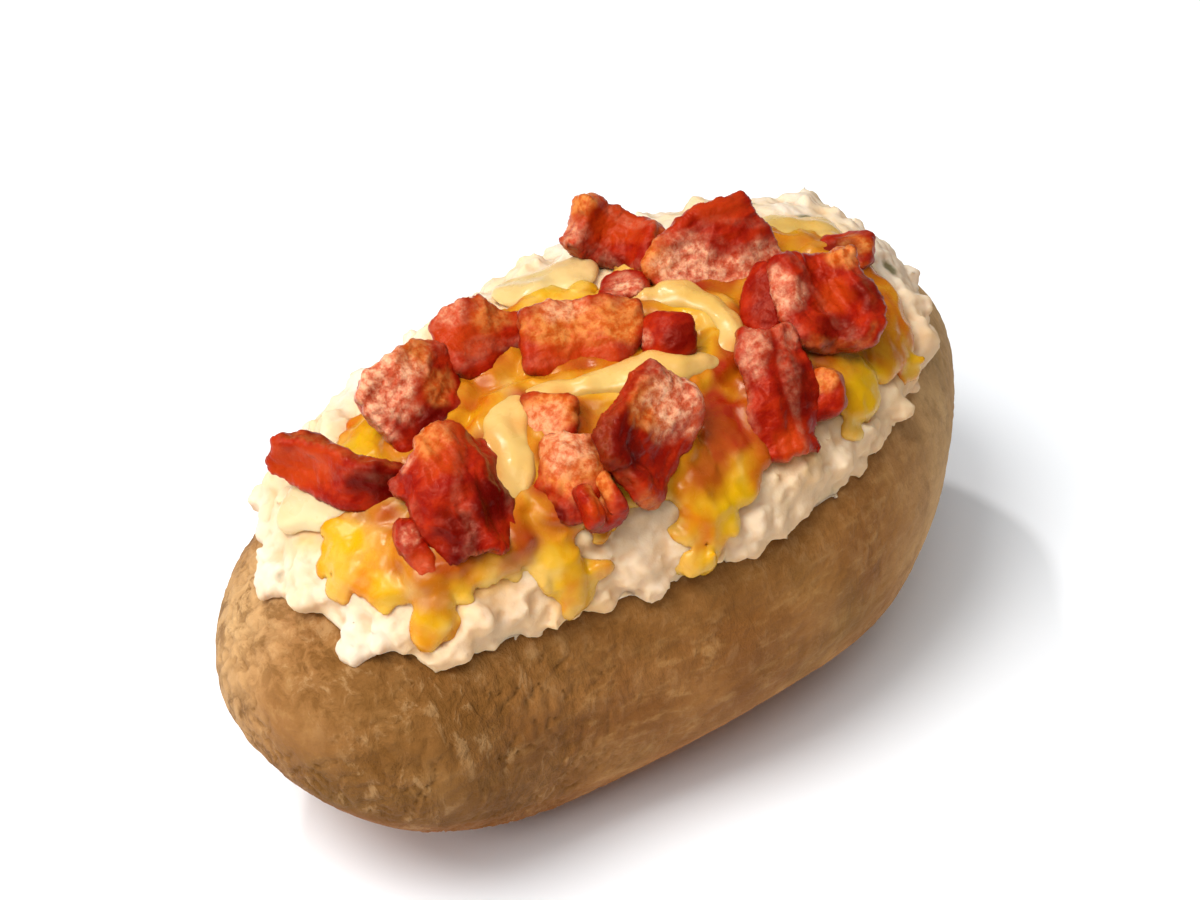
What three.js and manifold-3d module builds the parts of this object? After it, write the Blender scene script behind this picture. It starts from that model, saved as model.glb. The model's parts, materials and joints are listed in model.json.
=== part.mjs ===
// Loaded baked potato: a whole russet potato in its jacket, opened along the top, the
// fluffed flesh heaped over the opening, melted cheddar, pale cheese sauce and chopped
// bacon on top. Millimetres, +Z up, the long way of the potato along X, the table at Z = 0.
import * as THREE from 'three';
import { mergeVertices } from 'three/addons/utils/BufferGeometryUtils.js';
import { ImprovedNoise } from 'three/addons/math/ImprovedNoise.js';
import Module from 'manifold-3d';

const wasm = await Module();
wasm.setup();
const { clamp, degToRad, lerp, seededRandom } = THREE.MathUtils;
const noise = new ImprovedNoise();

// Potato in its jacket
const LENGTH = 130;
const WIDTH = 71.3;
const HEIGHT = 56.5;
const AXIS_HEIGHT = 31.65;
const REST_FLAT = 0.5;
const SKIN = 1.8;
const GAP = 0.3;
const TIP_BLUNTNESS = [2.33, 2.46];
const SECTION_SQUARENESS = 2.16;
const NEAR_BULGE = [1.142, 0.833, 1.005, 0.995, 0.791];
const FAR_BULGE = [1, 1.012, 1, 0.988, 1];
const TOP_BULGE = [1.039, 1.019, 1, 0.981, 0.961];
const UNDER_BULGE = [0.838, 1.196, 0.98, 1.209, 0.779];
const BEND = 1.71;
const SKEW = 0.59;
const RISE = 0.85;
const TIP_LEAN = [-3.4, 4.0];
const BODY_SEGMENTS = [22, 34];
const HOLLOW_SEGMENTS = [14, 20];

// Fluffed flesh heaped over the opening
const RIM_HEIGHT = 48.75;
const RIM_HALF_WIDTH = 30.6;
const REACH = [54.8, 56.6];
const PLAN_SQUARENESS = [2.45, 2.3];
const CREST = 17.5;
const CREST_BLUNTNESS = 2.6;
const MOUND_SQUARENESS = 2.5;
const MOUND_DIP = 5;
const MOUND_SEGMENTS = [18, 28];
const OPENING_TUCK = 4;
const OPENING_FLOOR = 36;
const OPENING_DEPTH = 60;
const FRINGE_LUMPS = 42;
const SLOPE_LUMPS = 24;
const FRINGE_LUMP_RADIUS = [2.4, 4.2];
const SLOPE_LUMP_RADIUS = [3.2, 5.2];
const LUMP_FACE_SHARE = 1.3;

// Melted cheese and bacon
const SHEET_DIP = 2.5;
const SHEET_SEGMENTS = [8, 10];
const BLANKET_SEGMENTS = [12, 18];
const WALK_STEPS = 40;
const JACKET_SLOPE = degToRad(49);
const RASHER_SEGMENTS = [6, 3];
const SHEET_RAGGEDNESS = 0.4;
const RASHER_RAGGEDNESS = 0.22;

// Each path runs through points [x, s]: along the potato, and round the heap from its crest.
const CHEDDAR = [
  { path: [[-47, 1], [-24, -2], [0, -5], [24, -9], [42, -9]], width: 37, thick: 1.4, blanket: true },
  { path: [[-50, 1], [-47.5, -8], [-41, -14], [-29, -17.5], [-16, -20]], width: 11, thick: 1.5 },
  { path: [[-45, -10], [-46.5, -14.5], [-48.5, -20.5]], width: 5.5, thick: 1.6 },
  { path: [[-29, -16], [-29.5, -23], [-29, -31]], width: 6, thick: 1.6 },
  { path: [[-7, -17], [-8.5, -25], [-11, -36.5]], width: 8, thick: 1.7 },
  { path: [[4, -14], [-1, -24], [-4.5, -32]], width: 9, thick: 1.4 },
  { path: [[16, -17], [21, -24], [23, -31]], width: 10, thick: 1.8 },
  { path: [[27, -27], [34, -22], [41, -13]], width: 9, thick: 1.5 },
];
const SAUCE = {
  cheese_sauce_ribbon: [
    { path: [[-31.5, -14], [-27, -8.5], [-22.5, -2.5], [-17.5, -1.5]], width: 7.5, thick: 3.4 },
    { path: [[-20, -1], [-13.5, -5], [-8, -8.5], [2, -12.8], [8, -14.5]], width: 5.5, thick: 4 },
    { path: [[5, 2.5], [10, -1.2], [13, -6.5], [11, -12], [6, -14]], width: 5.5, thick: 3.8 },
  ],
  cheese_sauce_far_pool: [{ path: [[-5, 20], [2, 17.5], [9, 12]], width: 11, thick: 2 }],
  cheese_sauce_right_pool: [{ path: [[32, 6], [38, 0], [44, -5]], width: 10, thick: 2 }],
  cheese_sauce_left_pool: [{ path: [[-49.5, 11], [-47, 6], [-44, 1]], width: 8, thick: 2.6 }],
};
// Each piece lies at [x, s]; turn is yaw, pitch and roll; curl and cup are total bends.
const RASHERS = [
  { at: [-44.2, 4.8], lift: 4.9, size: [18, 6.4, 2.1],
    turn: [-62, -3, 68], curl: -40, cup: 14, ripple: 1 },
  { at: [-29.5, 5.8], lift: 3.9, size: [14, 14, 2.3],
    turn: [8, 1, 43], curl: -13, cup: -8, ripple: 0.6 },
  { at: [-36.2, -10], lift: 5.3, size: [16.4, 16.4, 2.4],
    turn: [-11, -2, 28], curl: -115, cup: -26, ripple: 0.7 },
  { at: [-43.3, -10.6], lift: 2.4, size: [7.8, 5.6, 2.2],
    turn: [74, 42, -7], curl: -21, cup: -12, ripple: 0.2 },
  { at: [-15, 7.6], lift: 3.8, size: [14.6, 10.4, 2.4],
    turn: [-33, -19, 28], curl: -60, cup: -22, ripple: 0.7 },
  { at: [-6.3, 0.2], lift: 4.1, size: [14.5, 9.4, 3],
    turn: [-35, -4, 33], curl: -14, cup: -34, ripple: 0.5 },
  { at: [1.6, -8.6], lift: 5, size: [7.4, 7.2, 2.6],
    turn: [-46, 12, 34], curl: -100, cup: -54, ripple: 0 },
  { at: [-12.6, -17.7], lift: 5, size: [16.6, 12, 2.4],
    turn: [20, 17, 56], curl: 76, cup: 16, ripple: 0.5 },
  { at: [-23.2, -15.5], lift: 3.4, size: [8.4, 10.4, 3],
    turn: [-44, -3, 40], curl: -38, cup: -36, ripple: 0.4 },
  { at: [-22.8, -20.4], lift: 2.9, size: [9, 6, 1.9],
    turn: [-18, 3, 24], curl: 260, cup: 10, ripple: 0 },
  { at: [-18.9, -7.4], lift: 2.2, size: [7, 6, 3],
    turn: [-62, 8, 28], curl: -24, cup: -10, ripple: 0 },
  { at: [13.7, 13.6], lift: 3.4, size: [14, 8.2, 2.4],
    turn: [-58, -14, 38], curl: 86, cup: 0, ripple: 0.7 },
  { at: [18.9, -0.4], lift: 4.1, size: [17.4, 14, 2.5],
    turn: [-3, 12, 41], curl: -21, cup: -8, ripple: 0.6 },
  { at: [8.9, -22.7], lift: 3.2, size: [17.7, 8.6, 2.7],
    turn: [62, 40, 8], curl: -12, cup: -68, ripple: 0.7 },
  { at: [17.8, -11.2], lift: 4.5, size: [9.6, 5.2, 2.6],
    turn: [34, 32, -10], curl: -36, cup: -50, ripple: 0.1 },
  { at: [23.8, -15.8], lift: 4.4, size: [13.8, 14.6, 2.4],
    turn: [-25, 1, 24], curl: 138, cup: 39, ripple: 0.5 },
  { at: [14.6, -25.5], lift: 3.1, size: [4.6, 5.8, 3],
    turn: [-44, 10, 50], curl: 10, cup: -22, ripple: 0 },
  { at: [6.5, 4.6], lift: 2.5, size: [5.4, 4.2, 2.2],
    turn: [-48, 8, 4], curl: -16, cup: -30, ripple: 0 },
  { at: [38, -8.1], lift: 2, size: [7.4, 5.6, 2],
    turn: [-50, 6, 10], curl: -10, cup: -40, ripple: 0.2 },
];

/** Turns a closed geometry into a solid that can be joined and cut. */
function toSolid(geometry) {
  const bare = new THREE.BufferGeometry();
  bare.setAttribute('position', geometry.attributes.position.clone());
  bare.setIndex(geometry.index ? geometry.index.clone() : null);
  const merged = mergeVertices(bare, 1e-4);
  const vertProperties = Float32Array.from(merged.attributes.position.array);
  const triVerts = Uint32Array.from(merged.index.array);
  return new wasm.Manifold(new wasm.Mesh({ numProp: 3, vertProperties, triVerts }));
}

/** Turns a solid back into a geometry, keeping only its largest connected body. */
function toGeometry(solid) {
  const { vertProperties, triVerts } = solid.getMesh();
  const owner = Array.from({ length: vertProperties.length / 3 }, (_, index) => index);
  const bodyOf = (index) => {
    let root = index;
    while (owner[root] !== root) {
      owner[root] = owner[owner[root]];
      root = owner[root];
    }
    return root;
  };
  for (let i = 0; i < triVerts.length; i += 3) {
    owner[bodyOf(triVerts[i])] = bodyOf(triVerts[i + 1]);
    owner[bodyOf(triVerts[i + 1])] = bodyOf(triVerts[i + 2]);
  }
  const corner = (index) => new THREE.Vector3().fromArray(vertProperties, triVerts[index] * 3);
  const volumes = new Map();
  for (let i = 0; i < triVerts.length; i += 3) {
    const body = bodyOf(triVerts[i]);
    const volume = corner(i).dot(corner(i + 1).cross(corner(i + 2))) / 6;
    volumes.set(body, (volumes.get(body) ?? 0) + volume);
  }
  const [largest] = [...volumes.entries()].reduce((a, b) => (b[1] > a[1] ? b : a));
  const kept = Array.from(triVerts).filter((_, i) => bodyOf(triVerts[i - (i % 3)]) === largest);
  const geometry = new THREE.BufferGeometry();
  geometry.setAttribute('position', new THREE.Float32BufferAttribute(vertProperties, 3));
  geometry.setIndex(kept);
  return mergeVertices(geometry.toNonIndexed(), 1e-6);
}

/** Joins a list of solids into one. */
function joined(solids) {
  return solids.reduce((whole, piece) => whole.add(piece));
}

/** Raises a value to a power and keeps its sign. */
function signedPower(value, power) {
  return Math.sign(value) * Math.abs(value) ** power;
}

/** A smooth curve through evenly spaced values, read at t from -1 to 1. */
function smoothCurve(values) {
  const knots = values.map((value, index) => new THREE.Vector2(index, value));
  const curve = new THREE.SplineCurve(knots);
  return (t) => curve.getPoint(clamp((t + 1) / 2, 0, 1)).y;
}

const nearBulge = smoothCurve(NEAR_BULGE);
const farBulge = smoothCurve(FAR_BULGE);
const topBulge = smoothCurve(TOP_BULGE);
const underBulge = smoothCurve(UNDER_BULGE);

/** A ball reshaped by point(t, angle): t runs along the ball's axis, the angle round it. */
function reshapedBall([around, along], point) {
  const geometry = new THREE.SphereGeometry(1, around, along);
  const position = geometry.attributes.position;
  for (let i = 0; i < position.count; i += 1) {
    const t = clamp(position.getY(i), -1, 1);
    const angle = Math.atan2(position.getX(i), position.getZ(i));
    const { x, y, z } = point(t, angle);
    position.setXYZ(i, x, y, z);
  }
  return geometry;
}

/** A point on the potato's skin, moved inwards by inset. */
function bodyPoint(t, angle, inset) {
  const end = t < 0 ? 0 : 1;
  const profile = Math.max(0, 1 - Math.abs(t) ** TIP_BLUNTNESS[end]) ** (1 / TIP_BLUNTNESS[end]);
  const side = Math.cos(angle);
  const rise = Math.sin(angle);
  const halfWidth = (WIDTH / 2 - inset) * profile * (side < 0 ? nearBulge(t) : farBulge(t));
  const halfHeight = (HEIGHT / 2 - inset) * profile * (rise < 0 ? underBulge(t) : topBulge(t));
  const middle = BEND * (t * t - 0.33) + SKEW * t;
  const y = middle + halfWidth * signedPower(side, 2 / SECTION_SQUARENESS);
  const z = AXIS_HEIGHT + RISE * t + halfHeight * signedPower(rise, 2 / SECTION_SQUARENESS);
  const lean = TIP_LEAN[end] * ((z - AXIS_HEIGHT) / 30) * Math.abs(t) ** 3;
  return new THREE.Vector3(t * (LENGTH / 2 - inset) + lean, y, z);
}

/** The whole potato as a solid, moved inwards by inset. */
function potato(inset, segments) {
  return toSolid(reshapedBall(segments, (t, angle) => bodyPoint(t, angle, inset)));
}

/** Half widths, crest and middle line of the heaped flesh at u, from -1 to 1 along it. */
function moundSection(u, grow) {
  const end = u < 0 ? 0 : 1;
  const plan = PLAN_SQUARENESS[end];
  const profile = Math.max(0, 1 - Math.abs(u) ** plan) ** (1 / plan);
  const crown = Math.max(0, 1 - Math.abs(u) ** CREST_BLUNTNESS) ** (1 / CREST_BLUNTNESS);
  const x = u * (REACH[end] + grow);
  const t = (2 * x) / LENGTH;
  return {
    x,
    near: (RIM_HALF_WIDTH * nearBulge(t) + grow) * profile,
    far: (RIM_HALF_WIDTH * farBulge(t) + grow) * profile,
    crest: (CREST + grow) * crown,
    dip: MOUND_DIP * profile,
    middle: BEND * (t * t - 0.33) + SKEW * t,
  };
}

/** A point on the heaped flesh: angle 0 is the far fringe, PI the near fringe. */
function moundPoint(u, angle, grow = 0) {
  const section = moundSection(u, grow);
  const side = Math.cos(angle);
  const rise = Math.sin(angle);
  const power = 2 / MOUND_SQUARENESS;
  const y = section.middle + (side < 0 ? section.near : section.far) * signedPower(side, power);
  const z = RIM_HEIGHT + (rise < 0 ? section.dip : section.crest) * signedPower(rise, power);
  return new THREE.Vector3(section.x, y, z);
}

/** A point over the heap: x along it, s round it from the crest, lift above the flesh. */
function surfacePoint(x, s, lift) {
  const u = x / REACH[x < 0 ? 0 : 1];
  const away = s < 0 ? -1 : 1;
  const step = (-away * Math.PI) / 2 / WALK_STEPS;
  let angle = Math.PI / 2;
  let left = Math.abs(s);
  let here = moundPoint(u, angle);
  for (let i = 0; i < WALK_STEPS; i += 1) {
    const next = moundPoint(u, angle + step);
    const stride = here.distanceTo(next);
    if (left <= stride) {
      const along = moundPoint(u + 0.01, angle).sub(moundPoint(u - 0.01, angle));
      const round = next.clone().sub(here).multiplyScalar(away);
      const normal = along.cross(round).normalize();
      return here.lerp(next, left / stride).addScaledVector(normal, lift);
    }
    left -= stride;
    angle += step;
    here = next;
  }
  const down = new THREE.Vector3(0, away * Math.cos(JACKET_SLOPE), -Math.sin(JACKET_SLOPE));
  const out = new THREE.Vector3(0, away * Math.sin(JACKET_SLOPE), Math.cos(JACKET_SLOPE));
  return here.addScaledVector(down, left).addScaledVector(out, lift);
}

/** The opening along the top of the jacket, cut straight down inside the fringe. */
function opening(tuck) {
  const outline = [];
  for (let i = 0; i < BODY_SEGMENTS[1]; i += 1) {
    const turn = (2 * Math.PI * i) / BODY_SEGMENTS[1];
    const { x, near, far, middle } = moundSection(Math.cos(turn), -tuck);
    const across = Math.sin(turn) < 0 ? -near : far;
    outline.push(new THREE.Vector2(x, middle + across));
  }
  const shape = new THREE.Shape(outline);
  const options = { depth: OPENING_DEPTH, bevelEnabled: false };
  return toSolid(new THREE.ExtrudeGeometry(shape, options).translate(0, 0, OPENING_FLOOR));
}

/** One rough lump of fluffed flesh, with its faces moved outwards by grow. */
function lump({ centre, radius, turns: [first, second] }, grow) {
  const geometry = new THREE.IcosahedronGeometry(radius + grow * LUMP_FACE_SHARE, 0);
  geometry.rotateX(first).rotateZ(second).translate(...centre);
  return toSolid(geometry);
}

/** Places lumps along the fringe and over the bare slopes of the heap. */
function placeLumps() {
  seededRandom(11);
  const lumps = [];
  for (let i = 0; i < FRINGE_LUMPS; i += 1) {
    const turn = (2 * Math.PI * (i + 0.6 * seededRandom())) / FRINGE_LUMPS;
    const radius = lerp(...FRINGE_LUMP_RADIUS, seededRandom());
    const height = degToRad(lerp(-4, 22, seededRandom()));
    const angle = Math.sin(turn) < 0 ? Math.PI - height : height;
    lumps.push({ centre: moundPoint(0.985 * Math.cos(turn), angle, -0.45 * radius), radius });
  }
  for (let i = 0; i < SLOPE_LUMPS; i += 1) {
    const u = lerp(-0.97, 0.97, (i + seededRandom()) / SLOPE_LUMPS);
    const near = i % 2 === 0;
    const height = degToRad(near ? lerp(14, 34, seededRandom()) : lerp(16, 62, seededRandom()));
    const radius = lerp(...SLOPE_LUMP_RADIUS, seededRandom());
    const angle = near ? Math.PI - height : height;
    lumps.push({ centre: moundPoint(u, angle, -0.6 * radius), radius });
  }
  const turned = () => seededRandom() * Math.PI;
  return lumps.map((spec) => ({ ...spec, turns: [turned(), turned()] }));
}

/** A length of melted cheese lying over the heap, following its path. */
function sheet({ path, width, thick, blanket }, grow) {
  const curve = new THREE.CatmullRomCurve3(path.map(([x, s]) => new THREE.Vector3(x, s, 0)));
  const segments = blanket ? BLANKET_SEGMENTS : SHEET_SEGMENTS;
  return toSolid(reshapedBall(segments, (t, angle) => {
    const centre = curve.getPointAt((t + 1) / 2);
    const ahead = curve.getTangentAt((t + 1) / 2);
    const profile = Math.max(0, 1 - Math.abs(t) ** 3) ** 0.5;
    const bank = 3 * Math.sign(Math.cos(angle));
    const wobble = 1 + SHEET_RAGGEDNESS * noise.noise(centre.x / 4, centre.y / 4, bank);
    const across = Math.cos(angle) * (width / 2 + grow) * profile * wobble;
    const rise = Math.sin(angle) * profile;
    const lift = rise > 0 ? (GAP + thick + grow) * rise ** 0.5 : SHEET_DIP * rise;
    return surfacePoint(centre.x - ahead.y * across, centre.y + ahead.x * across, lift);
  }));
}

/** Bends a flat coordinate v and its height h by a total angle over a size. */
function bent(v, h, angle, size) {
  const bend = degToRad(angle) / size;
  if (Math.abs(bend) < 1e-6) {
    return [v, h];
  }
  return [(1 / bend - h) * Math.sin(v * bend), 1 / bend - (1 / bend - h) * Math.cos(v * bend)];
}

/** One chopped piece of a fried rasher, curled and cupped, set on the heap. */
function rasher({ at, lift, size, turn, curl, cup, ripple }, index, grow) {
  const [length, width, thick] = size;
  const geometry = new THREE.BoxGeometry(2, 2, 2, ...RASHER_SEGMENTS, 1);
  const position = geometry.attributes.position;
  for (let i = 0; i < position.count; i += 1) {
    const [u, v, w] = [position.getX(i), position.getY(i), position.getZ(i)];
    const narrow = 1 - 0.22 * u ** 4;
    const ragged = 1 + RASHER_RAGGEDNESS * noise.noise((u * length) / 8, index * 1.7, Math.sign(v));
    const end = 5 + Math.sign(u);
    const trimmed = 1 + RASHER_RAGGEDNESS * noise.noise((v * width) / 8, index * 2.3, end);
    const along = (u * length * trimmed) / 2 + u * grow;
    const across = (v * width * narrow * ragged) / 2 + v * grow;
    const height = w * (thick / 2 + grow) + ripple * Math.sin(Math.PI * u + index);
    const [y, cupped] = bent(across, height, cup, width);
    const [x, z] = bent(along, cupped, curl, length);
    position.setXYZ(i, x, y, z);
  }
  const [yaw, pitch, roll] = turn.map(degToRad);
  const facing = new THREE.Euler(roll, -pitch, yaw, 'ZYX');
  const place = new THREE.Matrix4().makeRotationFromEuler(facing);
  place.setPosition(surfacePoint(...at, lift));
  return toSolid(geometry.applyMatrix4(place));
}

/** A named mesh with its own finish. */
function namedMesh(name, solid, color, roughness) {
  const material = new THREE.MeshStandardMaterial({ color, roughness, metalness: 0 });
  const mesh = new THREE.Mesh(toGeometry(solid), material);
  mesh.name = name;
  return mesh;
}

const group = new THREE.Group();

const aboveTable = toSolid(new THREE.BoxGeometry(400, 400, 200).translate(0, 0, 100 + REST_FLAT));
const whole = potato(0, BODY_SEGMENTS);
const jacket = whole.subtract(potato(SKIN, HOLLOW_SEGMENTS)).subtract(opening(OPENING_TUCK));
group.add(namedMesh('potato_jacket', jacket.intersect(aboveTable), '#a67d4c', 0.85));

const clearOfJacket = potato(-GAP, BODY_SEGMENTS);
const filling = potato(SKIN + GAP, HOLLOW_SEGMENTS);
const mound = toSolid(reshapedBall(MOUND_SEGMENTS, (t, angle) => moundPoint(t, angle)));
const neck = mound.intersect(opening(OPENING_TUCK + GAP));
const lumps = placeLumps();
const heap = joined([mound, ...lumps.map((spec) => lump(spec, 0))]);
const flesh = joined([heap.subtract(clearOfJacket), neck, filling]);
group.add(namedMesh('potato_flesh', flesh, '#f0dfb8', 0.85));

const grownMound = toSolid(reshapedBall(MOUND_SEGMENTS, (t, angle) => moundPoint(t, angle, GAP)));
let taken = joined([clearOfJacket, grownMound, ...lumps.map((spec) => lump(spec, GAP))]);

const cheddar = joined(CHEDDAR.map((spec) => sheet(spec, 0))).subtract(taken);
group.add(namedMesh('melted_cheddar', cheddar, '#e0962b', 0.4));
taken = joined([taken, ...CHEDDAR.map((spec) => sheet(spec, GAP))]);

Object.entries(SAUCE).forEach(([name, ribbons]) => {
  const sauce = joined(ribbons.map((spec) => sheet(spec, 0))).subtract(taken);
  group.add(namedMesh(name, sauce, '#eebf74', 0.3));
});
taken = joined([taken, ...Object.values(SAUCE).flat().map((spec) => sheet(spec, GAP))]);

RASHERS.forEach((spec, index) => {
  const name = `bacon_${String(index + 1).padStart(2, '0')}`;
  group.add(namedMesh(name, rasher(spec, index, 0).subtract(taken), '#a83420', 0.35));
  taken = taken.add(rasher(spec, index, GAP));
});

const middle = new THREE.Box3().setFromObject(group).getCenter(new THREE.Vector3());
group.position.set(-middle.x, -middle.y, -REST_FLAT);

export default group;
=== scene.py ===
"""A loaded baked potato: the jacket, the fluffed flesh, melted cheddar, cheese sauce and bacon.

Metres, +Z up, the potato's long way along X, the table at Z = 0.
"""

from __future__ import annotations

import json
import logging
import math
import random
import sys
from dataclasses import dataclass
from enum import Enum
from typing import Any, Callable, Sequence

import bmesh
import bpy
import numpy as np
from mathutils import Matrix, Quaternion, Vector, noise
from mathutils.bvhtree import BVHTree

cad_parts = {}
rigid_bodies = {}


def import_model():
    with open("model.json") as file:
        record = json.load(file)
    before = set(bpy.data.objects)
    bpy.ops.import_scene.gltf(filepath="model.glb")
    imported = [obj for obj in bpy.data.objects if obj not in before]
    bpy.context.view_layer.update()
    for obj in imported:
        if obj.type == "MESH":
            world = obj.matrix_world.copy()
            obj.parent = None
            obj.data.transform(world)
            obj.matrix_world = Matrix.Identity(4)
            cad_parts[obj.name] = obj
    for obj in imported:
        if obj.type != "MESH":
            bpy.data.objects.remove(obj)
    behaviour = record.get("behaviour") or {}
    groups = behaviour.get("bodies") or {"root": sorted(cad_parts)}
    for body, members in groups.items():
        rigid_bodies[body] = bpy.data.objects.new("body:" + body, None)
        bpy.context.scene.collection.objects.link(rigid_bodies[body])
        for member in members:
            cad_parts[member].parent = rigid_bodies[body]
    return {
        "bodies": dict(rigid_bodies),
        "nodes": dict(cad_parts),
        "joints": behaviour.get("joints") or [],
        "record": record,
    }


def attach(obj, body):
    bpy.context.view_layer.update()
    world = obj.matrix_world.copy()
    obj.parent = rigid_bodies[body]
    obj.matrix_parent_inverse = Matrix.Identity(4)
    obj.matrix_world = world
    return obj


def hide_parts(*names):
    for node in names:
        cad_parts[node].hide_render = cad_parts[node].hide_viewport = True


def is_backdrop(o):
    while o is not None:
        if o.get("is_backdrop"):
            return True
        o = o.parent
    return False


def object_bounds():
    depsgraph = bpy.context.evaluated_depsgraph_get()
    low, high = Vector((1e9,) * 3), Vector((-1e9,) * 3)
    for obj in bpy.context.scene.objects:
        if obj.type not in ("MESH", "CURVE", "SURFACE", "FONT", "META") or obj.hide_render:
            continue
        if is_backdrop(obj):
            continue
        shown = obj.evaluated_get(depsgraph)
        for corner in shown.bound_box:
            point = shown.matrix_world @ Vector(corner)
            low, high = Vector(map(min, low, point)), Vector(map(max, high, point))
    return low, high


LOG = logging.getLogger("potato")
MM = 0.001
BODY = "root"

Points = np.ndarray
Triple = tuple[float, float, float]
Colour = Triple

# The front quarter, from which each rasher's patches are laid out.
FRONT_RIGHT = np.array(Vector((0.7233, -0.6905, 0.0)))
FRONT_UP = np.array(Vector((0.4524, 0.4739, 0.7555)))
# Where the strongest lamp stands.
KEY_SIDE = (-0.5, -0.01, 0.87)


def tint(red: int, green: int, blue: int) -> Colour:
    """A colour as the eye names it, 0 to 255, turned into the renderer's linear light.

    Args:
        red: Red, 0 to 255.
        green: Green, 0 to 255.
        blue: Blue, 0 to 255.

    Returns:
        The linear red, green and blue.
    """
    parts = [value / 255 for value in (red, green, blue)]
    linear = [v / 12.92 if v <= 0.04045 else ((v + 0.055) / 1.055) ** 2.4 for v in parts]
    return (linear[0], linear[1], linear[2])


def ease(values: Points, low: float, high: float) -> Points:
    """A smooth step from 0 at low to 1 at high; with high below low, the step falls."""
    share = np.clip((values - low) / (high - low), 0.0, 1.0)
    return share * share * (3 - 2 * share)


# ---- shaders


class Value:
    """A number running through a shader; arithmetic on it adds Math nodes."""

    def __init__(self, finish: "Recipe", socket: Any) -> None:
        """Wraps an output socket of the recipe's nodes."""
        self.finish = finish
        self.socket = socket

    def _math(self, operation: str, left: Any, right: Any) -> "Value":
        """Adds one Math node on two values or numbers."""
        return self.finish.value("ShaderNodeMath", {"operation": operation}, {0: left, 1: right})

    def __add__(self, other: Any) -> "Value":
        """The sum."""
        return self._math("ADD", self, other)

    def __radd__(self, other: Any) -> "Value":
        """The sum, the number first."""
        return self._math("ADD", other, self)

    def __sub__(self, other: Any) -> "Value":
        """The difference."""
        return self._math("SUBTRACT", self, other)

    def __rsub__(self, other: Any) -> "Value":
        """The difference, the number first."""
        return self._math("SUBTRACT", other, self)

    def __mul__(self, other: Any) -> "Value":
        """The product."""
        return self._math("MULTIPLY", self, other)

    def __rmul__(self, other: Any) -> "Value":
        """The product, the number first."""
        return self._math("MULTIPLY", other, self)

    def above(self, low: float, high: float) -> "Value":
        """A smooth step from 0 at low to 1 at high."""
        inputs = {"Value": self, "From Min": low, "From Max": high}
        return self.finish.value("ShaderNodeMapRange", {"interpolation_type": "SMOOTHSTEP"}, inputs)


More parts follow.
